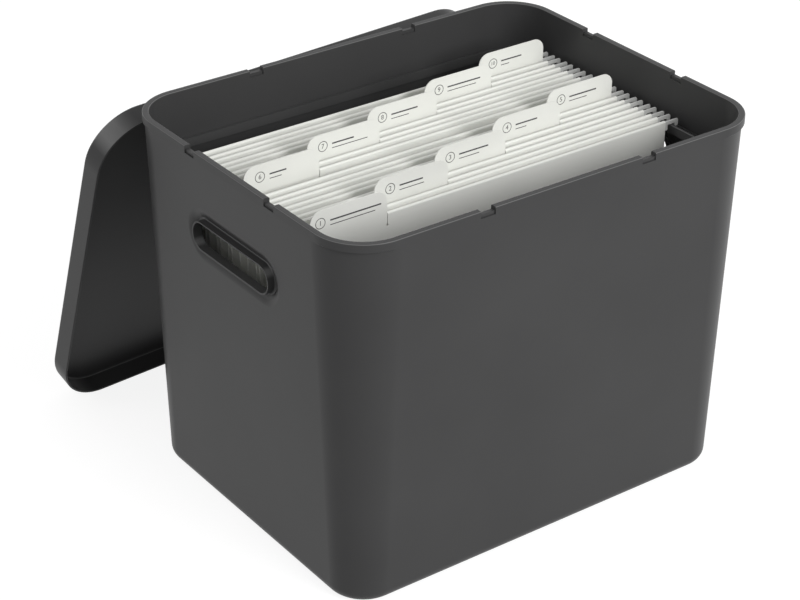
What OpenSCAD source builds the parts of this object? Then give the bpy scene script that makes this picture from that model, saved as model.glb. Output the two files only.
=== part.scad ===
// Portable file box: a moulded box with a lift-off lid, a drop-in hanging frame
// and ten hanging folders, each with two plastic rails. Millimetres, +Z up.
// The origin is the centre of the box's underside, X runs along the long side
// and +Y is the back, where the lid stands on the floor and leans on the box.

/* [Box] */
// Outer length over the rim
box_l = 364.4; // [340:0.1:420]
// Outer width over the rim
box_w = 284.2; // [264:0.1:330]
// Height from the floor to the top of the rim
box_h = 291.5; // [275:0.5:330]
// How far each side leans in from the rim to the foot
side_draft = 9.35; // [5:0.05:12]
// Corner radius of the rim
rim_r = 39; // [32:0.5:43]
// Corner radius of the walls just under the rim
body_r = 43.5; // [43:0.5:50]
// Corner radius of the base
base_r = 29.6; // [24:0.2:38]
// Width of the rim's top face
rim_t = 5; // [4.4:0.1:6]
// Height of the rim band
rim_band = 7; // [6:0.1:12]
// Radius of the rounded bottom edge
foot_r = 9.7; // [6:0.1:12]
// Thickness of the floor
floor_t = 3; // [2:0.1:4]
// Wall thickness at the floor
foot_wall = 3; // [2.2:0.1:4]
// Width of the moulded step that carries the frame
seat_w = 1.2; // [0.8:0.1:1.6]

/* [Rim notches] */
// Length of one notch
notch_l = 12; // [8:0.5:16]
// Depth of the web's top below the rim
notch_drop = 2.7; // [1.5:0.1:4]
// Depth of the side recesses below the rim
notch_step = 5.3; // [4.5:0.1:8]
// How far the recesses go into the rim from each face
notch_recess = 1; // [0.5:0.1:1.6]
// Notch centres on the long sides, from the middle
notch_x = 70; // [50:1:90]
// Notch centres on the short sides, from the middle
notch_y = 50; // [30:1:65]

/* [Grips] */
// Length of the collar round the grip hole
grip_l = 97.4; // [80:0.2:110]
// Height of the collar
grip_h = 23; // [20:0.1:28]
// Wall of the collar
grip_wall = 1.3; // [1:0.1:2]
// How far the collar stands out past the rim
grip_proud = 0.9; // [0.4:0.1:2]
// How far the dish round the collar goes into the wall
dish_depth = 3.4; // [2.4:0.1:3.8]
// How far the dish spreads round the collar
dish_w = 11; // [8:0.5:14]
// Wall left behind the dish
dish_wall = 2.6; // [2:0.1:3]

/* [Hanging frame] */
// Depth of the frame's top below the rim
frame_drop = 38.2; // [30:0.2:50]
// Height of the frame's band
frame_h = 7.1; // [6:0.1:10]
// Play between the frame and the box wall
frame_fit = 0.3; // [0.2:0.05:0.4]
// Height left between the frame and its step
seat_fit = 0.2; // [0.1:0.05:0.3]
// Thickness of the frame's outer skin
frame_skin = 1.4; // [1.2:0.1:1.6]
// Thickness of the long bars
bar_t = 3; // [2.4:0.1:5]
// Width of the groove behind each hanging lip
groove_w = 6.8; // [6.5:0.1:9]
// Thickness of the hanging lip
lip_t = 2.5; // [2:0.1:3]
// Height of the hanging lip above the frame's top
lip_rise = 4.1; // [3:0.1:6]
// Length of each hanging lip
lip_l = 228; // [216:1:232]

/* [Folders] */
// Front rail of the first folder, from the middle
first_y = -58.9; // [-70:0.1:-50]
// Distance from one folder to the next
folder_pitch = 15.3; // [14:0.1:16]
// Extra gap between the front five and the back five
group_gap = 5.5; // [0:0.1:7]
// Distance between a folder's two rails
rail_gap = 8.5; // [7.6:0.1:9]
// Thickness of the sheet
sheet_t = 0.7; // [0.5:0.05:0.9]
// Height of the hem round a rail
hem_h = 10; // [9.4:0.1:12]
// Play between a folder's side edge and the lip
cover_fit = 5.3; // [3.2:0.1:8]
// Space left under the folders
folder_gap = 18.4; // [8:0.2:60]
// Height of the tab above the hem
tab_h = 17.8; // [14:0.1:24]
// Width of a tab
tab_w = 63.3; // [50:0.1:63.5]
// Left edge of the first tab, in from the cover's edge
tab_inset = 4.6; // [1:0.1:6.5]
// Corner radius of a tab
tab_r = 9; // [4:0.5:12]
// Width of the slit beside a tab
slit_w = 0.6; // [0.4:0.1:1]
// Diameter of the hole that ends the slit
slit_hole = 1.6; // [1:0.1:2.4]

/* [Rails] */
// Thickness of a rail
rail_t = 1.2; // [0.8:0.1:1.4]
// Height of a rail
rail_h = 7.4; // [6.4:0.1:8]
// Height of the arm that bridges the lip
arm_h = 3.1; // [2.4:0.1:4]
// Width of the hook behind the lip
hook_w = 3.2; // [2.8:0.1:4]
// How far the hook reaches down below the arm
hook_drop = 2.8; // [2.2:0.1:4.6]
// Play between the lip and the hook
hook_fit = 2.2; // [0.6:0.1:2.4]
// Play between a rail and its hem
hem_fit = 0.1; // [0.05:0.01:0.2]
// Height left between the arm and the lip
hang_fit = 0.2; // [0.1:0.05:0.4]

/* [Lid] */
// Depth of the skirt inside
skirt_h = 16.4; // [12:0.2:22]
// Thickness of the lid's top
lid_top = 2; // [1.6:0.1:3]
// Thickness of the skirt
skirt_t = 1.6; // [1.2:0.1:2.4]
// Play between the skirt and the rim
lid_fit = 0.35; // [0.2:0.05:0.8]
// Radius of the lid's outer edge
lid_edge_r = 2.5; // [1:0.1:3.2]
// How far the stored lid leans over, in degrees
lid_lean = 18.3; // [16:0.1:24]
// How far the stored lid is turned off the box, in degrees
lid_turn = 4; // [0:0.1:6]
// How far the stored lid sits to the left
lid_shift = 19.7; // [0:0.1:40]
// Gap between the leaning lid and the rim
lid_gap = 0.2; // [0.1:0.05:0.5]

/* [Hidden] */
$fn = 64;
GROUPS = 2;
TAB_STEPS = 5;
COUNT = GROUPS * TAB_STEPS;
CORNER_STEPS = 12;
EDGE_STEPS = 4;
// How far a cut runs past the face that it opens
CUT = 1;
// Bevel of the rim's edges and of the lid's inner corner
BEAD = 0.8;
// How far the inner wall leans out from the frame's seat to the rim
CORE_DRAFT = 0.2;
// Overlap that joins the plate behind a grip to the wall
WELD = 0.4;
// Straight stretch left between two round ends
FLAT = 0.1;

function two(k) = k < 10 ? str("0", k) : str(k);
FOLDERS = [for (k = [1 : COUNT]) str("folder_", two(k))];
FRONT_RAILS = [for (k = [1 : COUNT]) str("front_rail_", two(k))];
REAR_RAILS = [for (k = [1 : COUNT]) str("rear_rail_", two(k))];

BOX_GREY = "#4b4b4c";
FRAME_GREY = "#454546";
PAPER_WHITE = "#dcddd8";
RAIL_GREY = "#a7a8a6";

// Heights of the frame and of what hangs on it
frame_z = box_h - frame_drop;
frame_bottom = frame_z - frame_h;
seat_z = frame_bottom - seat_fit;
lip_z = frame_z + lip_rise;
arm_z = lip_z + hang_fit;
rail_top = arm_z + arm_h;
hem_slot_h = rail_h + 2 * hem_fit;
hem_top = rail_top + hem_fit + sheet_t;
hem_bottom = hem_top - hem_h;
folder_bottom = floor_t + folder_gap;

// Inner outline of the box, above and below the step
inner_l = box_l - 2 * rim_t;
inner_w = box_w - 2 * rim_t;
inner_r = rim_r - rim_t;
core_l = inner_l - 2 * CORE_DRAFT;
core_w = inner_w - 2 * CORE_DRAFT;
core_r = inner_r - CORE_DRAFT;

// Outline of the frame, the place of its lips and the floor of the groove behind them
frame_l = core_l - 2 * frame_fit;
frame_w = core_w - 2 * frame_fit;
frame_r = core_r - frame_fit;
lip_x = frame_l / 2 - frame_skin - groove_w - lip_t;
opening_w = frame_w - 2 * bar_t;
opening_r = 18;
groove_floor = 5.7;
groove_skin = 1.5;
groove_z = frame_bottom + groove_floor;

// A folder is a little narrower than the gap between the lips
cover_l = 2 * (lip_x - cover_fit);
hem_t = rail_t + 2 * hem_fit + 2 * sheet_t;
fold_r = rail_gap / 2 + hem_t / 2;
hook_x = lip_x + lip_t + hook_fit;
rail_l = 2 * (hook_x + hook_w);

// Grips: the wall's face at their height and the levels of the dish
grip_margin = 5;
grip_clear = 1.1;
grip_z = seat_z - grip_clear - grip_margin - grip_h / 2;
grip_face = box_l / 2 + grip_proud;
wall_face = box_l / 2 - side_draft * (box_h - rim_band - grip_z) / (box_h - rim_band - foot_r);
dish_face = wall_face - dish_depth;
grip_back = dish_face - dish_wall;
collar_foot = 2.5;
// The dish's slope bends once, at these shares of its depth and width
DISH_BEND = 0.4;
DISH_REACH = 0.7;
DISH_RUNOUT = 1.1;

// Lid: its skirt slips over the rim
lid_l = box_l + 2 * (lid_fit + skirt_t);
lid_w = box_w + 2 * (lid_fit + skirt_t);
lid_r = rim_r + lid_fit + skirt_t;
lid_h = skirt_h + lid_top;
// The stored lid's top edge is a straight line that touches the rim's outline.
// A lid too wide to pass under the rim band leans over further
lean = max(lid_lean, acos(min(1, (box_h - rim_band) / lid_w)));
rim_reach = (box_l / 2 - rim_r) * sin(lid_turn) + (box_w / 2 - rim_r) * cos(lid_turn) + rim_r;
lid_y = (rim_reach + lid_gap + lid_w / 2 * sin(lean) - lid_shift * sin(lid_turn)) / cos(lid_turn);
lid_z = lid_w / 2 * cos(lean);

function rail_y(k) = first_y + (k - 1) * folder_pitch + (k > TAB_STEPS ? group_gap : 0);
// The tabs step across the cover, and the last one ends at its edge
tab_pitch = (cover_l - tab_inset - tab_w) / (TAB_STEPS - 1);
function tab_x(k) = -cover_l / 2 + tab_inset + ((k - 1) % TAB_STEPS) * tab_pitch;

// Rounded outlines at several heights, skinned into one solid
function corner(x, y, r, turn) =
    [for (i = [0 : CORNER_STEPS]) let (a = turn + 90 * i / CORNER_STEPS) [x + r * cos(a), y + r * sin(a)]];
function outline(l, w, r) = concat(
    corner(l / 2 - r, w / 2 - r, r, 0),
    corner(-l / 2 + r, w / 2 - r, r, 90),
    corner(-l / 2 + r, -w / 2 + r, r, 180),
    corner(l / 2 - r, -w / 2 + r, r, 270));

module skin(levels) {
    n = 4 * (CORNER_STEPS + 1);
    last = len(levels) - 1;
    points = [for (v = levels) for (p = outline(v[1], v[2], v[3])) [p[0], p[1], v[0]]];
    lower = [for (i = [0 : last - 1]) for (j = [0 : n - 1])
        [i * n + j, (i + 1) * n + j, (i + 1) * n + (j + 1) % n]];
    upper = [for (i = [0 : last - 1]) for (j = [0 : n - 1])
        [i * n + j, (i + 1) * n + (j + 1) % n, i * n + (j + 1) % n]];
    bottom = [[for (j = [0 : n - 1]) j]];
    top = [[for (j = [n - 1 : -1 : 0]) last * n + j]];
    polyhedron(points, concat(bottom, lower, upper, top));
}

// A slot with round ends, lying along X
module slot(l, h) {
    square([l - h, h], center = true);
    for (s = [-1, 1])
        translate([s * (l - h) / 2, 0])
            circle(d = h);
}

// A short side's frame: X of the drawing runs along Y, Y up, and Z out of the box
module on_side(side) {
    rotate([0, 0, side > 0 ? 0 : 180])
        translate([0, 0, grip_z])
            rotate([90, 0, 90])
                children();
}

// Levels of the grip's dish and collar, as [depth along X, length, height, radius]
function grip_level(x, spread) =
    [x, grip_l + 2 * spread, grip_h + 2 * spread, (grip_h - FLAT) / 2 + spread];

module grip_dish(side) {
    on_side(side) {
        difference() {
            skin([
                grip_level(dish_face, grip_margin),
                grip_level(dish_face + dish_depth * DISH_BEND, dish_w * DISH_REACH),
                grip_level(wall_face + CUT, dish_w * DISH_RUNOUT)]);
            skin([
                grip_level(dish_face - CUT, collar_foot + CUT),
                grip_level(dish_face + collar_foot, 0),
                grip_level(grip_face + CUT, 0)]);
        }
    }
}

module grip_hole(side) {
    flare = dish_wall - FLAT;
    on_side(side) {
        translate([0, 0, grip_back - CUT])
            linear_extrude(grip_face - grip_back + 2 * CUT)
                slot(grip_l - 2 * grip_wall, grip_h - 2 * grip_wall);
        skin([
            grip_level(grip_back - CUT, flare + CUT - grip_wall),
            grip_level(grip_back + flare, -grip_wall)]);
    }
}

// The rim's notches leave a thin web between two shallow recesses
module rim_notch(turn, along, half) {
    web = rim_t - 2 * notch_recess;
    rotate([0, 0, turn])
        translate([along, half - rim_t / 2, box_h]) {
            translate([-notch_l / 2, -rim_t / 2 - CUT, -notch_drop])
                cube([notch_l, rim_t + 2 * CUT, notch_drop + CUT]);
            for (s = [-1, 1])
                translate([-notch_l / 2, s * (web / 2 + CUT + notch_recess / 2) - CUT - notch_recess / 2,
                    -notch_step])
                    cube([notch_l, notch_recess + 2 * CUT, notch_step + CUT]);
        }
}

module box() {
    foot_l = box_l - 2 * side_draft;
    foot_w = box_w - 2 * side_draft;
    hollow_l = foot_l - 2 * foot_wall;
    hollow_w = foot_w - 2 * foot_wall;
    hollow_r = base_r - foot_wall;
    step_l = core_l - 2 * seat_w;
    step_w = core_w - 2 * seat_w;
    inner_foot = foot_r - floor_t;
    band_z = box_h - rim_band;
    color(BOX_GREY)
    difference() {
        union() {
            difference() {
                skin(concat(
                    [for (i = [0 : EDGE_STEPS]) let (a = 90 * i / EDGE_STEPS, inset = foot_r * (1 - sin(a)))
                        [foot_r * (1 - cos(a)), foot_l - 2 * inset, foot_w - 2 * inset, base_r - inset]],
                    [[band_z, box_l, box_w, body_r],
                    [band_z + BEAD, box_l, box_w, rim_r],
                    [box_h - BEAD, box_l, box_w, rim_r],
                    [box_h, box_l - BEAD, box_w - BEAD, rim_r - BEAD / 2]]));
                skin(concat(
                    [for (i = [0 : EDGE_STEPS]) let (a = 90 * i / EDGE_STEPS, inset = inner_foot * (1 - sin(a)))
                        [floor_t + inner_foot * (1 - cos(a)), hollow_l - 2 * inset, hollow_w - 2 * inset,
                            hollow_r - inset]],
                    [[seat_z, step_l, step_w, core_r - seat_w],
                    [seat_z, core_l, core_w, core_r],
                    [box_h - BEAD, inner_l, inner_w, inner_r],
                    [box_h, inner_l + BEAD, inner_w + BEAD, inner_r + BEAD / 2],
                    [box_h + CUT, inner_l + BEAD, inner_w + BEAD, inner_r + BEAD / 2]]));
            }
            for (side = [-1, 1])
                on_side(side)
                    translate([0, 0, grip_back])
                        linear_extrude(dish_face - grip_back + WELD)
                            slot(grip_l + 2 * grip_margin, grip_h + 2 * grip_margin);
            for (side = [-1, 1])
                on_side(side)
                    translate([0, 0, dish_face])
                        linear_extrude(grip_face - dish_face)
                            slot(grip_l, grip_h);
        }
        for (side = [-1, 1]) {
            grip_dish(side);
            grip_hole(side);
        }
        for (s = [-1, 1], turn = [0, 180])
            rim_notch(turn, s * notch_x, box_w / 2);
        for (s = [-1, 1], turn = [90, 270])
            rim_notch(turn, s * notch_y, box_l / 2);
    }
}

// The lid as it lies when closed, with its open edge at z = 0
module lid_shell() {
    inside = 2 * skirt_t;
    difference() {
        skin(concat(
            [[0, lid_l, lid_w, lid_r]],
            [for (i = [0 : EDGE_STEPS]) let (a = 90 * i / EDGE_STEPS, inset = lid_edge_r * (1 - cos(a)))
                [lid_h - lid_edge_r * (1 - sin(a)), lid_l - 2 * inset, lid_w - 2 * inset, lid_r - inset]]));
        skin([
            [-CUT, lid_l - inside, lid_w - inside, lid_r - skirt_t],
            [skirt_h - BEAD, lid_l - inside, lid_w - inside, lid_r - skirt_t],
            [skirt_h, lid_l - inside - 2 * BEAD, lid_w - inside - 2 * BEAD, lid_r - skirt_t - BEAD]]);
    }
}

module lid() {
    color(BOX_GREY)
    translate([-lid_shift, lid_y, lid_z])
        rotate([0, 0, lid_turn])
            rotate([lean - 90, 0, 0])
                lid_shell();
}

// A rounded plate with square edges, centred on Z
module plate(l, w, r, z0, z1) {
    translate([0, 0, z0])
        linear_extrude(z1 - z0) {
            square([l - 2 * r, w], center = true);
            square([l, w - 2 * r], center = true);
            for (x = [-1, 1], y = [-1, 1])
                translate([x * (l / 2 - r), y * (w / 2 - r)])
                    circle(r = r);
        }
}

module file_frame() {
    skin_2 = 2 * frame_skin;
    groove_l = lip_l + 2 * frame_skin;
    color(FRAME_GREY)
    difference() {
        union() {
            plate(frame_l, frame_w, frame_r, frame_bottom, frame_z);
            for (side = [-1, 1])
                translate([side * (lip_x + lip_t / 2), 0, (groove_z + lip_z) / 2])
                    cube([lip_t, lip_l, lip_z - groove_z], center = true);
        }
        plate(2 * lip_x, opening_w, opening_r, frame_bottom - CUT, lip_z + CUT);
        for (side = [-1, 1])
            translate([side * (lip_x + lip_t + groove_w / 2), 0, groove_z + frame_h / 2])
                cube([groove_w, groove_l, frame_h], center = true);
        difference() {
            plate(frame_l - skin_2, frame_w - skin_2, frame_r - frame_skin, frame_bottom - CUT,
                groove_z - groove_skin);
            plate(2 * lip_x + skin_2, opening_w + skin_2, opening_r + frame_skin, frame_bottom - 2 * CUT,
                groove_z);
        }
        for (side = [-1, 1])
            translate([side * lip_x, 0, frame_bottom])
                cube([2 * (frame_skin + CUT), lip_l, 2 * (groove_z - groove_skin - frame_bottom)],
                    center = true);
    }
}

// A folder's cut through both hems and the fold, Y across and Z up
module folder_section() {
    slot_z = rail_top + hem_fit - hem_slot_h;
    bend_z = folder_bottom + fold_r;
    for (side = [0, 1])
        translate([side * rail_gap, 0])
            difference() {
                union() {
                    translate([-hem_t / 2, hem_bottom])
                        square([hem_t, hem_h - hem_t / 2]);
                    translate([0, hem_top - hem_t / 2])
                        circle(d = hem_t, $fn = 24);
                    translate([side == 0 ? -hem_t / 2 : hem_t / 2 - sheet_t, bend_z])
                        square([sheet_t, hem_bottom + CUT - bend_z]);
                }
                translate([-rail_t / 2 - hem_fit, slot_z])
                    square([rail_t + 2 * hem_fit, hem_slot_h]);
            }
    translate([rail_gap / 2, bend_z])
        difference() {
            circle(r = fold_r);
            circle(r = fold_r - sheet_t);
            translate([-fold_r - CUT, 0])
                square([2 * (fold_r + CUT), fold_r + CUT]);
        }
}

module tab_shape() {
    h = hem_top - hem_bottom + tab_h;
    square([tab_w, h - tab_r]);
    translate([tab_r, 0])
        square([tab_w - 2 * tab_r, h]);
    for (x = [tab_r, tab_w - tab_r])
        translate([x, h - tab_r])
            circle(r = tab_r);
}

module folder(k) {
    front = -hem_t / 2;
    color(PAPER_WHITE)
    translate([0, rail_y(k), 0]) {
        difference() {
            rotate([90, 0, 90])
                linear_extrude(cover_l, center = true)
                    folder_section();
            translate([tab_x(k) - slit_w, front - CUT, hem_bottom + sheet_t])
                cube([tab_w + 2 * slit_w, hem_t + 2 * CUT, hem_h]);
            for (x = [tab_x(k) - slit_w / 2, tab_x(k) + tab_w + slit_w / 2])
                translate([x, front + sheet_t, hem_bottom + sheet_t])
                    rotate([90, 0, 0])
                        cylinder(d = slit_hole, h = 2 * (sheet_t + CUT), center = true);
        }
        translate([tab_x(k), front + sheet_t, hem_bottom])
            rotate([90, 0, 0])
                linear_extrude(sheet_t)
                    tab_shape();
    }
}

// A rail's face: a strip with an arm and a hook at each end, X across and Z up
module rail_face() {
    notch_x0 = lip_x - hook_fit;
    round_r = hook_w / 2 - 2 * FLAT;
    translate([-notch_x0, rail_top - rail_h])
        square([2 * notch_x0, rail_h]);
    for (side = [0, 1])
        mirror([side, 0]) {
            translate([notch_x0 - CUT, arm_z])
                square([rail_l / 2 - notch_x0 + CUT - round_r, arm_h]);
            translate([hook_x, arm_z - hook_drop + round_r])
                square([hook_w, arm_h + hook_drop - 2 * round_r]);
            for (z = [arm_z - hook_drop + round_r, rail_top - round_r])
                translate([rail_l / 2 - round_r, z])
                    circle(r = round_r);
            translate([hook_x + round_r, arm_z - hook_drop + round_r])
                circle(r = round_r);
        }
}

module rail(y) {
    color(RAIL_GREY)
    translate([0, y + rail_t / 2, 0])
        rotate([90, 0, 0])
            linear_extrude(rail_t)
                rail_face();
}

box();
lid();
file_frame();
for (k = [1 : COUNT]) folder(k);
for (k = [1 : COUNT]) rail(rail_y(k));
for (k = [1 : COUNT]) rail(rail_y(k) + rail_gap);
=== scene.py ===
import math

import bmesh
import bpy
from mathutils import Matrix, Vector


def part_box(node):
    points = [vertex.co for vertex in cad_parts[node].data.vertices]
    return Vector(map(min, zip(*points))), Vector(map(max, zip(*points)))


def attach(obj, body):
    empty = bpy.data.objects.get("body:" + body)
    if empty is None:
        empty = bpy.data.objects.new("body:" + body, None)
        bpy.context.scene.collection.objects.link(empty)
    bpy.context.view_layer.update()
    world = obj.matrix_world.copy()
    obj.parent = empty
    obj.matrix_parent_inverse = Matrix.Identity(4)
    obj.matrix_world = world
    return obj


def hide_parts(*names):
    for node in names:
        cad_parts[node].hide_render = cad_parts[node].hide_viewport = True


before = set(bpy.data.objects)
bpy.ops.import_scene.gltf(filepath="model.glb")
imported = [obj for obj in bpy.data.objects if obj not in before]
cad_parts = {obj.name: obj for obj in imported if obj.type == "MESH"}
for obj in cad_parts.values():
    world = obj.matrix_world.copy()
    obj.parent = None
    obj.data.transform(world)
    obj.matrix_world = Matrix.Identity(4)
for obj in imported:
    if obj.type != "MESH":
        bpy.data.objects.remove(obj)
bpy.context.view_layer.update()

# Lengths are in millimetres, apart from those of the camera, the lamps, the floor and
# the materials, which are in metres, as the finished meshes are.
MM = 0.001


# Camera: a long lens in front and to the left of the box, looking down into it.
# Its place, aim and lens were solved from the box's own outline; the picture is
# a crop of a wider one, so the lens's axis meets it a little left of centre.
CAMERA_PLACE = (-0.9012, -1.1762, 0.9712)
CAMERA_HEADING = 35.41
CAMERA_DROP = 29.45
CAMERA_LENS = 102.24
CAMERA_SENSOR = 36
CROP_SHIFT = 0.0386


def put(name, data):
    """A new object in the scene."""
    made = bpy.data.objects.new(name, data)
    bpy.context.scene.collection.objects.link(made)
    return made


camera = put("camera", bpy.data.cameras.new("camera"))
camera.location = CAMERA_PLACE
camera.rotation_euler = (math.radians(90 - CAMERA_DROP), 0, -math.radians(CAMERA_HEADING))
camera.data.sensor_width = CAMERA_SENSOR
camera.data.lens = CAMERA_LENS
camera.data.shift_x = CROP_SHIFT
bpy.context.scene.camera = camera
bpy.context.scene.view_settings.view_transform = "Standard"


# Studio: a large soft lamp in front of the box, a weaker one behind its left side,
# and a white surround that fills in from all sides. The white floor lies a hair
# under the box and keeps its soft shadow.
WHITE = (1, 1, 1, 1)
SURROUND = 0.56
LAMP_AIM = (0, 0, 0.15)
FRONT_PLACE = (0.5, -2.6, 1.6)
FRONT_SIZE = 1.3
FRONT_POWER = 60
LEFT_PLACE = (-2.3, 1.2, 1.6)
LEFT_SIZE = 1.2
LEFT_POWER = 7
FLOOR_HALF = 6.0
FLOOR_DROP = 0.0002
FLOOR_PAINT = (0.35, 0.35, 0.35, 1)
FLOOR_SHADE = (0.26, 0.26, 0.26, 1)
FLOOR_GLOW = 0.86


def new_material(name):
    """A node material with only its output node."""
    made = bpy.data.materials.new(name)
    made.use_nodes = True
    made.node_tree.nodes.clear()
    made.node_tree.nodes.new("ShaderNodeOutputMaterial")
    return made


def add_node(tree, kind, values=None, **links):
    """A node with inputs set by values and wired by links, an underscore standing for a space."""
    made = tree.nodes.new(kind)
    for key, value in (values or {}).items():
        made.inputs[key].default_value = value
    for key, source in links.items():
        tree.links.new(source, made.inputs[key.replace("_", " ")])
    return made


def set_surface(tree, shader):
    """Wires a shader to the material's output."""
    tree.links.new(shader.outputs[0], tree.nodes["Material Output"].inputs["Surface"])


def seen_as_background(tree):
    """1 for a ray from the camera or from a mirror or glass, 0 for one that brings light."""
    path = tree.nodes.new("ShaderNodeLightPath")
    seen = path.outputs["Is Camera Ray"]
    for kind in ("Is Glossy Ray", "Is Transmission Ray"):
        either = add_node(tree, "ShaderNodeMath")
        either.operation = "MAXIMUM"
        tree.links.new(seen, either.inputs[0])
        tree.links.new(path.outputs[kind], either.inputs[1])
        seen = either.outputs[0]
    return seen


def two_faced(tree, lighting, shown):
    """The shader lighting for rays that bring light, and shown for those that see a background."""
    pick = add_node(tree, "ShaderNodeMixShader", Fac=seen_as_background(tree))
    tree.links.new(lighting.outputs[0], pick.inputs[1])
    tree.links.new(shown.outputs[0], pick.inputs[2])
    return pick


def soft_lamp(name, place, size, power):
    """A square lamp at place that faces the box."""
    lamp = put(name, bpy.data.lights.new(name, "AREA"))
    lamp.data.shape = "SQUARE"
    lamp.data.size = size
    lamp.data.energy = power
    lamp.location = place
    lamp.rotation_euler = (Vector(LAMP_AIM) - Vector(place)).to_track_quat("-Z", "Y").to_euler()


world = bpy.data.worlds.new("studio")
world.use_nodes = True
bpy.context.scene.world = world
tree = world.node_tree
tree.nodes.clear()
glow = add_node(tree, "ShaderNodeBackground", {"Color": WHITE, "Strength": SURROUND})
white = add_node(tree, "ShaderNodeBackground", {"Color": WHITE, "Strength": 1.0})
add_node(tree, "ShaderNodeOutputWorld", Surface=two_faced(tree, glow, white).outputs[0])

soft_lamp("front_lamp", FRONT_PLACE, FRONT_SIZE, FRONT_POWER)
soft_lamp("left_back_lamp", LEFT_PLACE, LEFT_SIZE, LEFT_POWER)

floor_paint = new_material("floor_paint")
tree = floor_paint.node_tree
lit = add_node(tree, "ShaderNodeBsdfDiffuse", {"Color": FLOOR_PAINT})
shade = add_node(tree, "ShaderNodeBsdfDiffuse", {"Color": FLOOR_SHADE})
lift = add_node(tree, "ShaderNodeEmission", {"Color": WHITE, "Strength": FLOOR_GLOW})
shown = tree.nodes.new("ShaderNodeAddShader")
tree.links.new(shade.outputs[0], shown.inputs[0])
tree.links.new(lift.outputs[0], shown.inputs[1])
set_surface(tree, two_faced(tree, lit, shown))

bm = bmesh.new()
bmesh.ops.create_grid(bm, x_segments=1, y_segments=1, size=FLOOR_HALF)
bmesh.ops.translate(bm, vec=(0, 0, -FLOOR_DROP), verts=bm.verts)
floor_mesh = bpy.data.meshes.new("floor")
bm.to_mesh(floor_mesh)
bm.free()
floor_mesh.materials.append(floor_paint)
floor = put("floor", floor_mesh)


# Box: one thick-walled injection moulding in dark grey polypropylene. The walls
# lean out to a flat-topped rim with eight notches, and each short side has a grip
# hole with a thin collar that stands in a shallow dish. The faces are finely sparked.
BOX_GREY = (0.046, 0.046, 0.0465, 1)
BOX_GREY_WORN = (0.052, 0.052, 0.0525, 1)
# Painted highlight: the paler grey laid on rounded edges that face upward, in place of the light they
# catch
EDGE_HIGHLIGHT_GREY = (0.15, 0.15, 0.15, 1)
BOX_ROUGHNESS = 0.4
CLOUD_SCALE = 9.0
CLOUD_DETAIL = 3.0
CLOUD_STOPS = (0.35, 0.7)
GRAIN_SCALE = 1500
GRAIN_DETAIL = 2.0
GRAIN_BUMP = 0.35
GRAIN_DEPTH = 0.00002
GRAIN_SHEEN = (-0.03, 0.04)
# Painted highlight: how strongly it is laid on, by how far the surface faces up
PAINTED_EDGE_HIGHLIGHT_STOPS = ((0.4, 0), (0.62, 1), (0.8, 1), (0.93, 0))
PLASTIC_IOR = 1.5
PLASTIC_SPECULAR = 0.18
SHARP_ANGLE = 32

box_low, box_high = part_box("box")
GRIP_PROUD = 0.9
BOX_L = (box_high.x - box_low.x) / MM - 2 * GRIP_PROUD
BOX_W = (box_high.y - box_low.y) / MM
BOX_H = box_high.z / MM
SIDE_DRAFT = 9.35
RIM_R = 39
BODY_R = 43.5
BASE_R = 29.6
RIM_T = 5
RIM_BAND = 7
BAND_UNDERCUT = 0.8
FOOT_R = 9.7
FOOT_WALL = 3
FLOOR_T = 3
SEAT_Z = 246
SEAT_W = 1.2
CORE_DRAFT = 0.2
EDGE_ROUND = 0.9
ROUND_STEPS = 4
FOOT_STEPS = 10
CORNER_STEPS = 28
GRIP_L = 97.4
GRIP_H = 23
GRIP_Z = 228.4
GRIP_WALL = 1.3
GRIP_MARGIN = 5
GRIP_FLAT = 0.01
BOSS_OVERLAP = 0.4
COLLAR_ROUND = 0.45
COLLAR_FILLET = 1.6
FILLET_STEPS = 6
FLARE_STEPS = 8
DISH_DEPTH = 3.4
DISH_SPREAD = 8.5
DISH_WALL = 2.6
DISH_STEPS = 16
DISH_RUN_OUT = 0.02
NOTCH_L = 12
NOTCH_DROP = 2.7
NOTCH_STEP = 5.3
NOTCH_RECESS = 1
NOTCH_X = 70
NOTCH_Y = 50
CUT = 1
HAIR = 0.0001


def cloudy_tint(tree, where, scale, detail, stops, colours):
    """A colour that drifts softly between two tints over the surface."""
    clouds = add_node(tree, "ShaderNodeTexNoise", {"Scale": scale, "Detail": detail}, Vector=where)
    tint = add_node(tree, "ShaderNodeValToRGB", Fac=clouds.outputs["Fac"])
    for i in (0, 1):
        tint.color_ramp.elements[i].position = stops[i]
        tint.color_ramp.elements[i].color = colours[i]
    return tint.outputs["Color"]


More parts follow.
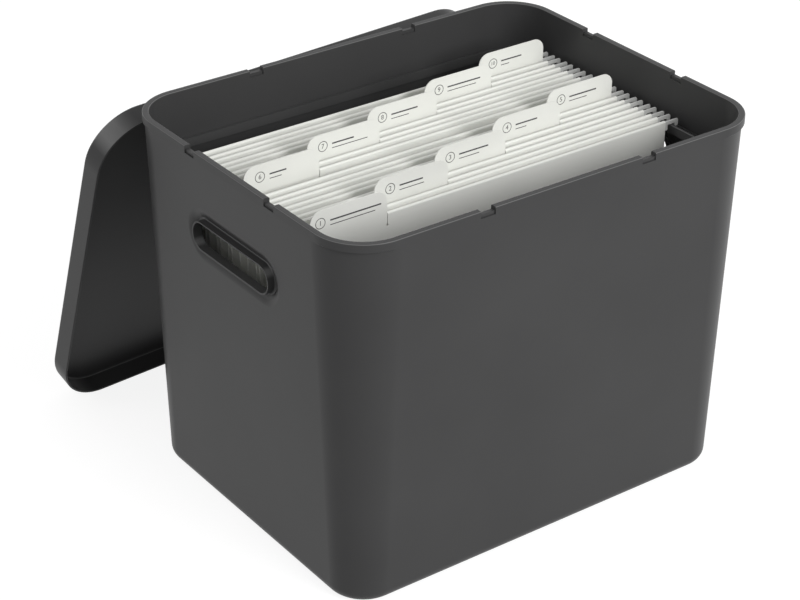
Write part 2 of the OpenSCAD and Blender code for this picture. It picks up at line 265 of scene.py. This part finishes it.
def moulded_plastic(name, grey, worn, edge_highlight, roughness):
    """Matte moulded plastic: a fine grain, faint flow clouds, and a painted highlight that makes rounded
    upward-facing edges paler.
    """
    made = new_material(name)
    tree = made.node_tree
    where = tree.nodes.new("ShaderNodeTexCoord").outputs["Object"]
    tint = cloudy_tint(tree, where, CLOUD_SCALE, CLOUD_DETAIL, CLOUD_STOPS, (grey, worn))
    sparks = add_node(tree, "ShaderNodeTexNoise", {"Scale": GRAIN_SCALE, "Detail": GRAIN_DETAIL},
                      Vector=where).outputs["Fac"]
    sheen = add_node(tree, "ShaderNodeMapRange", {"To Min": roughness + GRAIN_SHEEN[0],
                                                  "To Max": roughness + GRAIN_SHEEN[1]}, Value=sparks)
    relief = add_node(tree, "ShaderNodeBump", {"Strength": GRAIN_BUMP, "Distance": GRAIN_DEPTH},
                      Height=sparks)
    normal = tree.nodes.new("ShaderNodeNewGeometry").outputs["Normal"]
    facing = add_node(tree, "ShaderNodeSeparateXYZ", Vector=normal)
    # Painted highlight mask: strongest where the surface faces up at about 45°, as rounded upper edges do
    edges = add_node(tree, "ShaderNodeValToRGB", Fac=facing.outputs["Z"])
    for share, amount in PAINTED_EDGE_HIGHLIGHT_STOPS:
        stop = edges.color_ramp.elements.new(share)
        stop.color = (amount, amount, amount, 1)
    edges.color_ramp.elements[0].color = (0, 0, 0, 1)
    edges.color_ramp.elements[-1].color = (0, 0, 0, 1)
    highlighted_tint = add_node(tree, "ShaderNodeMixRGB", {"Color2": edge_highlight}, Fac=edges.outputs["Color"], Color1=tint)
    shader = add_node(tree, "ShaderNodeBsdfPrincipled",
                      {"IOR": PLASTIC_IOR, "Specular IOR Level": PLASTIC_SPECULAR},
                      Base_Color=highlighted_tint.outputs["Color"], Roughness=sheen.outputs["Result"],
                      Normal=relief.outputs["Normal"])
    set_surface(tree, shader)
    return made


def rounded_ring(bm, z, length, width, radius, steps):
    """The edges of a rounded rectangle's outline at height z."""
    made = bmesh.ops.create_grid(bm, x_segments=1, y_segments=1, size=0.5)["verts"]
    bmesh.ops.scale(bm, vec=(length, width, 1), verts=made)
    bmesh.ops.translate(bm, vec=(0, 0, z), verts=made)
    bevelled = bmesh.ops.bevel(bm, geom=made, offset=radius, offset_type="OFFSET", segments=steps,
                               profile=0.5, affect="VERTICES", clamp_overlap=False, material=-1)
    whole = bevelled["verts"][0].link_faces[0]
    ring = list(whole.edges)
    bmesh.ops.delete(bm, geom=[whole], context="FACES_ONLY")
    return ring


def stack(levels, steps=CORNER_STEPS):
    """A closed mesh through rounded outlines, each given as (z, length, width, radius)."""
    bm = bmesh.new()
    # Rings of one height are set a hair apart, because bridging needs a direction
    rings = [rounded_ring(bm, z + HAIR * i, *size, steps) for i, (z, *size) in enumerate(levels)]
    for below, above in zip(rings, rings[1:]):
        bmesh.ops.bridge_loops(bm, edges=below + above)
    for ring in (rings[0], rings[-1]):
        bmesh.ops.contextual_create(bm, geom=ring)
    bmesh.ops.recalc_face_normals(bm, faces=bm.faces)
    return bm


def block(low, high):
    """A closed block between two corners."""
    bm = bmesh.new()
    bmesh.ops.create_cube(bm, size=1)
    bmesh.ops.scale(bm, vec=Vector(high) - Vector(low), verts=bm.verts)
    bmesh.ops.translate(bm, vec=(Vector(high) + Vector(low)) / 2, verts=bm.verts)
    return bm


def solid(bm, name, turn=Matrix.Identity(4)):
    """An object from a mesh in millimetres, turned into place and scaled to metres."""
    bmesh.ops.transform(bm, matrix=Matrix.Scale(MM, 4) @ turn, verts=bm.verts)
    mesh = bpy.data.meshes.new(name)
    bm.to_mesh(mesh)
    bm.free()
    return put(name, mesh)


def combine(piece, tool, operation):
    """Cuts tool out of piece, or joins it on, and removes tool."""
    step = piece.modifiers.new("step", "BOOLEAN")
    step.operation = operation
    step.solver = "EXACT"
    step.object = tool
    view = bpy.context.evaluated_depsgraph_get()
    old = piece.data
    piece.data = bpy.data.meshes.new_from_object(piece.evaluated_get(view))
    piece.modifiers.remove(step)
    bpy.data.meshes.remove(old)
    bpy.data.objects.remove(tool)


def dress(piece, name, material, body, node):
    """Smooths a finished piece up to a sharp angle, gives it its finish and hangs it on its body."""
    piece.name = name
    piece.data.name = name
    piece.data.materials.clear()
    piece.data.materials.append(material)
    piece.data.shade_smooth()
    piece.data.set_sharp_from_angle(angle=math.radians(SHARP_ANGLE))
    weigh = piece.modifiers.new("even_normals", "WEIGHTED_NORMAL")
    weigh.keep_sharp = True
    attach(piece, body)
    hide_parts(node)


def arc_steps(count):
    """Steps of a quarter turn, as shares of its radius: the rise left to make and the run made."""
    turns = [math.pi / 2 * i / count for i in range(count + 1)]
    return [(1 - math.sin(turn), 1 - math.cos(turn)) for turn in turns]


def shrink(size, inset):
    """A length, width and corner radius drawn in all round, or spread by a negative inset."""
    length, width, radius = size
    return length - 2 * inset, width - 2 * inset, radius - inset


box_plastic = moulded_plastic("box_plastic", BOX_GREY, BOX_GREY_WORN, EDGE_HIGHLIGHT_GREY, BOX_ROUGHNESS)
rim_size = (BOX_L, BOX_W, RIM_R)
foot_size = (BOX_L - 2 * SIDE_DRAFT, BOX_W - 2 * SIDE_DRAFT, BASE_R)
hollow_size = shrink(foot_size, FOOT_WALL)
inner_size = shrink(rim_size, RIM_T)
core_size = shrink(inner_size, CORE_DRAFT)
inner_foot = FOOT_R - FLOOR_T
band_z = BOX_H - RIM_BAND
outside = [(FOOT_R * run, *shrink(foot_size, FOOT_R * rise)) for rise, run in arc_steps(FOOT_STEPS)]
band = [(band_z, BOX_L, BOX_W, BODY_R), (band_z + BAND_UNDERCUT, *rim_size)]
outer_edge = [(BOX_H - EDGE_ROUND * rise, *shrink(rim_size, EDGE_ROUND * run))
              for rise, run in arc_steps(ROUND_STEPS)]
inner_edge = [(BOX_H - EDGE_ROUND * run, *shrink(inner_size, -EDGE_ROUND * rise))
              for rise, run in arc_steps(ROUND_STEPS)]
seat = [(SEAT_Z, *core_size), (SEAT_Z, *shrink(core_size, SEAT_W))]
inside = [(FLOOR_T + inner_foot * run, *shrink(hollow_size, inner_foot * rise))
          for rise, run in reversed(arc_steps(FOOT_STEPS))]
box = solid(stack(outside + band + outer_edge + inner_edge + seat + inside), "box_shell")

# The dish, collar and bore of a grip, drawn with X along the box's Y and Z pointing out
wall_slope = SIDE_DRAFT / (band_z - FOOT_R)
wall_face = BOX_L / 2 - wall_slope * (band_z - GRIP_Z)
dish_face = wall_face - DISH_DEPTH
grip_back = dish_face - DISH_WALL
grip_face = BOX_L / 2 + GRIP_PROUD
facing_out = Matrix(((0, 0, 1, 0), (1, 0, 0, 0), (0, 1, 0, GRIP_Z), (0, 0, 0, 1)))
to_wall = Matrix.Translation((0, 0, wall_face))
lean = Matrix(((1, 0, 0, 0), (0, 1, 0, 0), (0, wall_slope, 1, 0), (0, 0, 0, 1)))
from_wall = Matrix.Translation((0, 0, -wall_face))


def grip_ring(x, spread):
    """An outline round the grip hole, at depth x and spread millimetres outside the collar."""
    return x, GRIP_L + 2 * spread, GRIP_H + 2 * spread, GRIP_H / 2 + spread - GRIP_FLAT


for side in (0, math.pi):
    out = Matrix.Rotation(side, 4, "Z") @ facing_out
    boss = stack([grip_ring(grip_back, GRIP_MARGIN), grip_ring(dish_face + BOSS_OVERLAP, GRIP_MARGIN)])
    combine(box, solid(boss, "boss", out), "UNION")
    collar = stack([grip_ring(dish_face, 0), grip_ring(grip_face, 0)])
    combine(box, solid(collar, "collar", out), "UNION")
    # The dish rises steeply from the collar's foot and runs out level with the leaning wall
    slope = [grip_ring(dish_face + DISH_DEPTH * (1 - (1 - t) ** 2) + DISH_RUN_OUT,
                       COLLAR_FILLET + DISH_SPREAD * t)
             for t in (i / DISH_STEPS for i in range(DISH_STEPS + 1))]
    slope.append(grip_ring(wall_face + CUT, COLLAR_FILLET + DISH_SPREAD))
    dish = solid(stack(slope), "dish", out @ to_wall @ lean @ from_wall)
    fillet = [grip_ring(dish_face + COLLAR_FILLET * run, COLLAR_FILLET * rise)
              for rise, run in arc_steps(FILLET_STEPS)]
    lip = [grip_ring(grip_face - COLLAR_ROUND * rise, -COLLAR_ROUND * run)
           for rise, run in arc_steps(ROUND_STEPS)]
    core = stack([grip_ring(dish_face - CUT, COLLAR_FILLET)] + fillet + lip
                 + [grip_ring(grip_face + CUT, -COLLAR_ROUND)])
    combine(dish, solid(core, "core", out), "DIFFERENCE")
    combine(box, dish, "DIFFERENCE")
    flare = [grip_ring(grip_back + DISH_WALL * run, DISH_WALL * rise - GRIP_WALL)
             for rise, run in arc_steps(FLARE_STEPS)]
    mouth = [grip_ring(grip_face - COLLAR_ROUND * rise, COLLAR_ROUND * run - GRIP_WALL)
             for rise, run in arc_steps(ROUND_STEPS)]
    bore = stack([grip_ring(grip_back - CUT, DISH_WALL - GRIP_WALL)] + flare + mouth
                 + [grip_ring(grip_face + CUT, COLLAR_ROUND - GRIP_WALL)])
    combine(box, solid(bore, "bore", out), "DIFFERENCE")

# Each notch is a gap through the rim, with a recess below it in both of the rim's faces
past_rim = RIM_T / 2 + CUT
half_web = RIM_T / 2 - NOTCH_RECESS
notches = [(turn, s * NOTCH_X, BOX_W / 2) for turn in (0, math.pi) for s in (-1, 1)]
notches += [(turn, s * NOTCH_Y, BOX_L / 2) for turn in (math.pi / 2, -math.pi / 2) for s in (-1, 1)]
for turn, along, half in notches:
    place = Matrix.Rotation(turn, 4, "Z") @ Matrix.Translation((along, half - RIM_T / 2, BOX_H))
    gap = block((-NOTCH_L / 2, -past_rim, -NOTCH_DROP), (NOTCH_L / 2, past_rim, CUT))
    combine(box, solid(gap, "gap", place), "DIFFERENCE")
    for low, high in ((-past_rim, -half_web), (half_web, past_rim)):
        recess = block((-NOTCH_L / 2, low, -NOTCH_STEP), (NOTCH_L / 2, high, CUT))
        combine(box, solid(recess, "recess", place), "DIFFERENCE")
dress(box, "box_moulding", box_plastic, "box", "box")


# Lid: one shallow moulding in the same grey polypropylene, whose skirt slips over
# the rim. Taken off, it stands on its long edge on the floor behind the box, turned
# a little, and leans on the wall under the rim with its open side to the box.
LID_FIT = 0.35
SKIRT_T = 1.6
SKIRT_H = 16.4
LID_TOP = 2
LID_EDGE_R = 2.5
LID_EDGE_STEPS = 8
LID_LEAN = math.radians(18.3)
LID_TURN = math.radians(4)
SKIRT_ROUND = 0.5
ROOT_FILLET = 1.2
ROOT_STEPS = 5
lid_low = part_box("lid")[0]
lid_size = shrink(rim_size, -(LID_FIT + SKIRT_T))
lid_h = SKIRT_H + LID_TOP


def lid_ring(z, inset):
    """An outline of the lid at height z, drawn in by inset."""
    return z, *shrink(lid_size, inset)


root = [lid_ring(SKIRT_H - ROOT_FILLET * rise, SKIRT_T + ROOT_FILLET * run)
        for rise, run in reversed(arc_steps(ROOT_STEPS))]
skirt_inside = [lid_ring(SKIRT_ROUND * rise, SKIRT_T - SKIRT_ROUND * run)
                for rise, run in arc_steps(ROUND_STEPS)]
skirt_outside = [lid_ring(SKIRT_ROUND * rise, SKIRT_ROUND * run)
                 for rise, run in reversed(arc_steps(ROUND_STEPS))]
lid_edge = [lid_ring(lid_h - LID_EDGE_R * rise, LID_EDGE_R * run)
            for rise, run in arc_steps(LID_EDGE_STEPS)]
lid_place = Matrix.Rotation(LID_TURN, 4, "Z") @ Matrix.Rotation(LID_LEAN - math.pi / 2, 4, "X")
lid = solid(stack(root + skirt_inside + skirt_outside + lid_edge), "lid_shell", lid_place)
corners = [v.co for v in lid.data.vertices]
reach = lid_low - Vector([min(c[axis] for c in corners) for axis in range(3)])
lid.data.transform(Matrix.Translation(reach))
dress(lid, "lid_moulding", box_plastic, "lid", "lid")


# Hanging frame: one thin moulding in much the same grey that drops into the mouth
# of the box and rests on a step. Along each short side a lip stands up for the
# hooks of the rails, with a groove behind it.
FRAME_GREY = (0.055, 0.055, 0.0555, 1)
FRAME_GREY_WORN = (0.061, 0.061, 0.0615, 1)
FRAME_ROUGHNESS = 0.42
FRAME_FIT = 0.3
FRAME_SKIN = 1.4
FRAME_H = 7.1
FRAME_SOFT = 0.4
FRAME_CORNER_STEPS = 20
BAR_T = 3
OPENING_R = 18
GROOVE_W = 6.8
GROOVE_R = 0.6
GROOVE_FLOOR = 5.7
GROOVE_SKIN = 1.5
LIP_T = 2.5
LIP_L = 228
LIP_R = 0.3
LIP_TOP_R = 0.2
LIP_ROUND = 0.8
LIP_CORNER_STEPS = 3
frame_low, frame_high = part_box("file_frame")
frame_l, frame_w = (frame_high.x - frame_low.x) / MM, (frame_high.y - frame_low.y) / MM
frame_bottom, lip_z = frame_low.z / MM, frame_high.z / MM
frame_z = frame_bottom + FRAME_H
groove_z = frame_bottom + GROOVE_FLOOR
under_z = groove_z - GROOVE_SKIN
lip_x = frame_l / 2 - FRAME_SKIN - GROOVE_W - LIP_T
frame_size = (frame_l, frame_w, core_size[2] - FRAME_FIT)
soft_size = shrink(frame_size, FRAME_SOFT)
under_size = shrink(frame_size, FRAME_SKIN)
opening_size = (2 * lip_x, frame_w - 2 * BAR_T, OPENING_R)
leg_size = shrink(opening_size, -FRAME_SKIN)
frame_plastic = moulded_plastic("frame_plastic", FRAME_GREY, FRAME_GREY_WORN, EDGE_HIGHLIGHT_GREY, FRAME_ROUGHNESS)

plate = stack([(frame_bottom, *soft_size), (frame_bottom + FRAME_SOFT, *frame_size),
               (frame_z - FRAME_SOFT, *frame_size), (frame_z, *soft_size)], FRAME_CORNER_STEPS)
file_frame = solid(plate, "frame_plate")
under = solid(stack([(frame_bottom - CUT, *under_size), (under_z, *under_size)]), "under")
kept = stack([(frame_bottom - 2 * CUT, *leg_size), (groove_z, *leg_size)])
combine(under, solid(kept, "kept"), "DIFFERENCE")
combine(file_frame, under, "DIFFERENCE")
for side in (-1, 1):
    # The inner leg of each short bar is left out under the lip
    leg = block((side * lip_x - FRAME_SKIN - CUT, -LIP_L / 2, frame_bottom - CUT),
                (side * lip_x + FRAME_SKIN + CUT, LIP_L / 2, under_z))
    combine(file_frame, solid(leg, "leg"), "DIFFERENCE")
    groove_size = (GROOVE_W, LIP_L + 2 * FRAME_SKIN, GROOVE_R)
    groove = stack([(groove_z, *groove_size), (frame_z + CUT, *groove_size)], LIP_CORNER_STEPS)
    groove_place = Matrix.Translation((side * (lip_x + LIP_T + GROOVE_W / 2), 0, 0))
    combine(file_frame, solid(groove, "groove", groove_place), "DIFFERENCE")
    lip_levels = [(groove_z - GROOVE_SKIN / 2, LIP_T, LIP_L, LIP_R),
                  (lip_z - LIP_ROUND, LIP_T, LIP_L, LIP_R)]
    for rise, run in arc_steps(ROUND_STEPS)[1:]:
        drawn_in = 2 * LIP_ROUND * run
        lip_levels.append((lip_z - LIP_ROUND * rise, LIP_T - drawn_in, LIP_L - drawn_in, LIP_TOP_R))
    lip_place = Matrix.Translation((side * (lip_x + LIP_T / 2), 0, 0))
    combine(file_frame, solid(stack(lip_levels, LIP_CORNER_STEPS), "lip", lip_place), "UNION")
hollow = stack([(frame_bottom - CUT, *opening_size), (lip_z + CUT, *opening_size)])
combine(file_frame, solid(hollow, "hollow"), "DIFFERENCE")
dress(file_frame, "frame_moulding", frame_plastic, "frame", "file_frame")


# Folders: ten sheets of smooth off-white card, each folded into a U with a hem over
# each rail. A tab with round shoulders is cut from the front cover, between two
# slits that end in a punched hole, and the tabs step from left to right.
CARD_WHITE = (0.83, 0.835, 0.795, 1)
CARD_SHADE = (0.79, 0.795, 0.755, 1)
CARD_CLOUD_SCALE = 22.0
CARD_CLOUD_DETAIL = 5.0
CARD_CLOUD_STOPS = (0.2, 0.75)
FIBRE_SCALE = 900.0
FIBRE_DETAIL = 3.0
FIBRE_BUMP = 0.25
FIBRE_DEPTH = 0.00003
CARD_ROUGHNESS = 0.55
CARD_IOR = 1.4
COUNT = 10
SHEET_T = 0.7
SHEET_OVERLAP = 1
HEM_H = 10
HEM_T = 2.8
SHORTEST_HEM = 1
RAIL_GAP = 8.5
RAIL_T = 1.2
TAB_W = 63.3
TAB_H = 17.8
TAB_R = 9
TAB_INSET = 4.6
TAB_STEPS = 5
SLIT_W = 0.6
SLIT_HOLE = 1.6
HOLE_DEPTH = 3
HOLE_STEPS = 24
BEND_STEPS = 12


def smooth_card(name):
    """Coated card: a faint cloudiness, fine fibres in its relief and a satin surface."""
    made = new_material(name)
    tree = made.node_tree
    where = tree.nodes.new("ShaderNodeTexCoord").outputs["Object"]
    tint = cloudy_tint(tree, where, CARD_CLOUD_SCALE, CARD_CLOUD_DETAIL, CARD_CLOUD_STOPS,
                       (CARD_SHADE, CARD_WHITE))
    fibres = add_node(tree, "ShaderNodeTexNoise", {"Scale": FIBRE_SCALE, "Detail": FIBRE_DETAIL},
                      Vector=where)
    relief = add_node(tree, "ShaderNodeBump", {"Strength": FIBRE_BUMP, "Distance": FIBRE_DEPTH},
                      Height=fibres.outputs["Fac"])
    set_surface(tree, add_node(tree, "ShaderNodeBsdfPrincipled",
                               {"Roughness": CARD_ROUGHNESS, "IOR": CARD_IOR},
                               Base_Color=tint, Normal=relief.outputs["Normal"]))
    return made


def rectangle(x0, z0, x1, z1):
    """The corners of a rectangle in XZ, from its lower left one on."""
    return [(x0, z0), (x1, z0), (x1, z1), (x0, z1)]


def outline_face(bm, corners, radii=()):
    """A flat face in XZ through corners, each rounded by its radius."""
    verts = [bm.verts.new((x, 0, z)) for x, z in corners]
    bm.faces.new(verts)
    for vert, radius in zip(verts, radii):
        if radius:
            bmesh.ops.bevel(bm, geom=[vert], offset=radius, offset_type="OFFSET", segments=BEND_STEPS,
                            profile=0.5, affect="VERTICES", clamp_overlap=False, material=-1)
    return bm


def thicken(bm, way):
    """Turns flat faces into a solid that reaches along way."""
    moved = bmesh.ops.extrude_face_region(bm, geom=list(bm.faces))["geom"]
    bmesh.ops.translate(bm, vec=way, verts=[v for v in moved if isinstance(v, bmesh.types.BMVert)])
    bmesh.ops.recalc_face_normals(bm, faces=bm.faces)
    return bm


def sheet_along_y(corners, depth, radii=()):
    """A solid with a rounded outline in XZ that reaches depth along Y."""
    return thicken(outline_face(bmesh.new(), corners, radii), (0, depth, 0))


def strip_along_x(points, x0, x1):
    """A closed solid from x0 to x1 whose cross-section is the closed outline of (y, z) points."""
    bm = bmesh.new()
    bm.faces.new([bm.verts.new((x0, y, z)) for y, z in points])
    return thicken(bm, (x1 - x0, 0, 0))


def hem_outline(side, top, flap_end, cover_end):
    """The hem's cross-section: a sheet folded over a rail, its free flap inside the folder."""
    outer_r = HEM_T / 2
    inner_r = outer_r - SHEET_T
    turns = [math.pi * i / BEND_STEPS for i in range(BEND_STEPS + 1)]
    over = [(-outer_r * math.cos(a), top - outer_r + outer_r * math.sin(a)) for a in turns]
    back = [(inner_r * math.cos(a), top - outer_r + inner_r * math.sin(a)) for a in turns]
    points = ([(-outer_r, cover_end)] + over + [(outer_r, flap_end), (inner_r, flap_end)] + back
              + [(-inner_r, cover_end)])
    return [(side * y, z) for y, z in points]


folder_card = smooth_card("folder_card")
fold_r = RAIL_GAP / 2 + HEM_T / 2
fold_turns = [math.pi + math.pi * i / (2 * BEND_STEPS) for i in range(2 * BEND_STEPS + 1)]
fold_outer = [(fold_r * math.cos(a), fold_r * math.sin(a)) for a in fold_turns]
fold_inner = [((fold_r - SHEET_T) * math.cos(a), (fold_r - SHEET_T) * math.sin(a))
              for a in reversed(fold_turns)]
tab_places = []
for k in range(1, COUNT + 1):
    node = f"folder_{k:02d}"
    low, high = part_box(node)
    rail_low, rail_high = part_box(f"front_rail_{k:02d}")
    rail_y = (rail_low.y + rail_high.y) / 2 / MM
    cover_y = rail_y - HEM_T / 2
    on_cover = Matrix.Translation((0, cover_y, 0))
    left, right = low.x / MM, high.x / MM
    fold_z = low.z / MM + fold_r
    tab_top = high.z / MM
    hem_top = tab_top - TAB_H
    hem_bottom = hem_top - HEM_H
    tab_step = (right - left - TAB_INSET - TAB_W) / (TAB_STEPS - 1)
    tab_x = left + TAB_INSET + ((k - 1) % TAB_STEPS) * tab_step
    tab_end = tab_x + TAB_W
    # The front cover with its tab and its hem on each side of the tab
    cover = sheet_along_y(rectangle(left, fold_z, right, hem_bottom + SHEET_OVERLAP), SHEET_T)
    folder = solid(cover, "cover", on_cover)
    tab = sheet_along_y(rectangle(tab_x, hem_bottom, tab_end, tab_top), SHEET_T, (0, 0, TAB_R, TAB_R))
    combine(folder, solid(tab, "tab", on_cover), "UNION")
    for x0, x1 in ((left, tab_x - SLIT_W), (tab_end + SLIT_W, right)):
        if x1 - x0 > SHORTEST_HEM:
            hem = strip_along_x(hem_outline(1, hem_top, hem_bottom, hem_bottom), x0, x1)
            combine(folder, solid(hem, "hem", Matrix.Translation((0, rail_y, 0))), "UNION")
    # The rear cover with its hem, and the fold at the bottom
    rear = strip_along_x(hem_outline(-1, hem_top, hem_bottom, fold_z), left, right)
    combine(folder, solid(rear, "rear", Matrix.Translation((0, rail_y + RAIL_GAP, 0))), "UNION")
    fold = strip_along_x(fold_outer + fold_inner, left, right)
    fold_place = Matrix.Translation((0, rail_y + RAIL_GAP / 2, fold_z))
    combine(folder, solid(fold, "fold", fold_place), "UNION")
    for x in (tab_x - SLIT_W / 2, tab_end + SLIT_W / 2):
        hole = bmesh.new()
        bmesh.ops.create_cone(hole, cap_ends=True, segments=HOLE_STEPS, radius1=SLIT_HOLE / 2,
                              radius2=SLIT_HOLE / 2, depth=HOLE_DEPTH)
        place = (Matrix.Translation((x, cover_y, hem_bottom + SHEET_T))
                 @ Matrix.Rotation(math.pi / 2, 4, "X"))
        combine(folder, solid(hole, "hole", place), "DIFFERENCE")
    dress(folder, f"card_{k:02d}", folder_card, f"hanging_{node}", node)
    tab_places.append((tab_x, cover_y, tab_top))


# Tab marks: dark grey print on each tab, a plain number in a ring and two ruled lines
# for the owner's words, the upper one bolder. Each set rides on its own folder.
INK_GREY = (0.05, 0.05, 0.05, 1)
INK_ROUGHNESS = 0.6
INK_T = 0.03
RING_R = 4.1
RING_W = 0.5
RING_STEPS = 48
NUMBER_SIZE = 5.2
NUMBER_SIZE_TEN = 4.16
NUMBER_X, NUMBER_DROP = 13.5, 9.6
RULE_X = 21.5
UPPER_DROP, UPPER_T = 9.3, 1.1
LOWER_DROP, LOWER_T = 12.8, 0.6
RULES = ((42, 37), (20, 21), (26, 18), (20, 10), (26, 17), (14, 10), (19, 31), (24, 16), (31, 27), (20, 8))
FIRST_TAB_SHIFT = -5.2
tab_ink = new_material("tab_ink")
tree = tab_ink.node_tree
set_surface(tree, add_node(tree, "ShaderNodeBsdfPrincipled",
                           {"Base Color": INK_GREY, "Roughness": INK_ROUGHNESS}))


def flat_ring(bm, place):
    """A flat ring in XZ round a place."""
    disc = bmesh.ops.create_circle(bm, cap_ends=True, segments=RING_STEPS, radius=RING_R, matrix=place)
    middle = disc["verts"][0].link_faces[0]
    bmesh.ops.inset_region(bm, faces=[middle], thickness=RING_W, use_boundary=True, use_even_offset=True)
    bmesh.ops.delete(bm, geom=[middle], context="FACES_ONLY")


def flat_number(bm, place, number, size):
    """A plain number in XZ, centred on a place and read from the front."""
    font = bpy.data.curves.new("number", "FONT")
    font.body = str(number)
    font.size = size
    font.align_x = "CENTER"
    font.align_y = "CENTER"
    shown = put("number", font)
    view = bpy.context.evaluated_depsgraph_get()
    mesh = bpy.data.meshes.new_from_object(shown.evaluated_get(view))
    mesh.transform(place)
    bm.from_mesh(mesh)
    bpy.data.objects.remove(shown)
    bpy.data.meshes.remove(mesh)


for k, (tab_x, tab_face, tab_top) in enumerate(tab_places, 1):
    shift = FIRST_TAB_SHIFT if k == 1 else 0
    bm = bmesh.new()
    place = Matrix.Translation((NUMBER_X + shift, 0, -NUMBER_DROP)) @ Matrix.Rotation(math.pi / 2, 4, "X")
    flat_ring(bm, place)
    flat_number(bm, place, k, NUMBER_SIZE if k < COUNT else NUMBER_SIZE_TEN)
    x0 = RULE_X + shift
    for drop, thick, length in zip((UPPER_DROP, LOWER_DROP), (UPPER_T, LOWER_T), RULES[k - 1]):
        outline_face(bm, rectangle(x0, -drop - thick / 2, x0 + length, -drop + thick / 2))
    thicken(bm, (0, 2 * INK_T, 0))
    marks = solid(bm, f"marks_{k:02d}", Matrix.Translation((tab_x, tab_face - INK_T, tab_top)))
    marks.data.materials.append(tab_ink)
    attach(marks, f"hanging_folder_{k:02d}")


# Rails: two flat strips of satin light grey plastic in each folder's hems. Each end
# has an arm over the lip and a rounded hook that drops into the groove behind it.
RAIL_GREY = (0.6, 0.605, 0.59, 1)
# The paler rail grey serves both the random cloud tint and the painted highlight on rounded upper edges
RAIL_GREY_PALE_AND_EDGE_HIGHLIGHT = (0.65, 0.655, 0.64, 1)
RAIL_ROUGHNESS = 0.35
RAIL_H = 7.4
RAIL_SOFT = 0.2
RAIL_SOFT_STEPS = 2
ARM_H = 3.1
HOOK_W = 3.2
HOOK_DROP = 2.8
HOOK_FIT = 2.2
HALF_RADII = (0.8, 0.5, 0.5, 1.4, 1.4, 1.5)
# The rails' rounded upper edges get a painted highlight in the paler rail grey
rail_plastic = moulded_plastic("rail_plastic", RAIL_GREY, RAIL_GREY_PALE_AND_EDGE_HIGHLIGHT, RAIL_GREY_PALE_AND_EDGE_HIGHLIGHT, RAIL_ROUGHNESS)
lug_x = lip_x - HOOK_FIT
for end in ("front", "rear"):
    for k in range(1, COUNT + 1):
        node = f"{end}_rail_{k:02d}"
        low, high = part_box(node)
        tip, top = high.x / MM, high.z / MM
        hook_x = tip - HOOK_W
        strip_z = top - RAIL_H
        arm_z = top - ARM_H
        hook_z = arm_z - HOOK_DROP
        half = [(lug_x, strip_z), (lug_x, arm_z), (hook_x, arm_z), (hook_x, hook_z),
                (tip, hook_z), (tip, top)]
        corners = half + [(-x, z) for x, z in reversed(half)]
        shape = sheet_along_y(corners, RAIL_T, HALF_RADII + HALF_RADII[::-1])
        rail = solid(shape, node, Matrix.Translation((0, low.y / MM, 0)))
        soft = rail.modifiers.new("soft_edges", "BEVEL")
        soft.width = RAIL_SOFT * MM
        soft.segments = RAIL_SOFT_STEPS
        dress(rail, node + "_strip", rail_plastic, f"hanging_folder_{k:02d}", node)
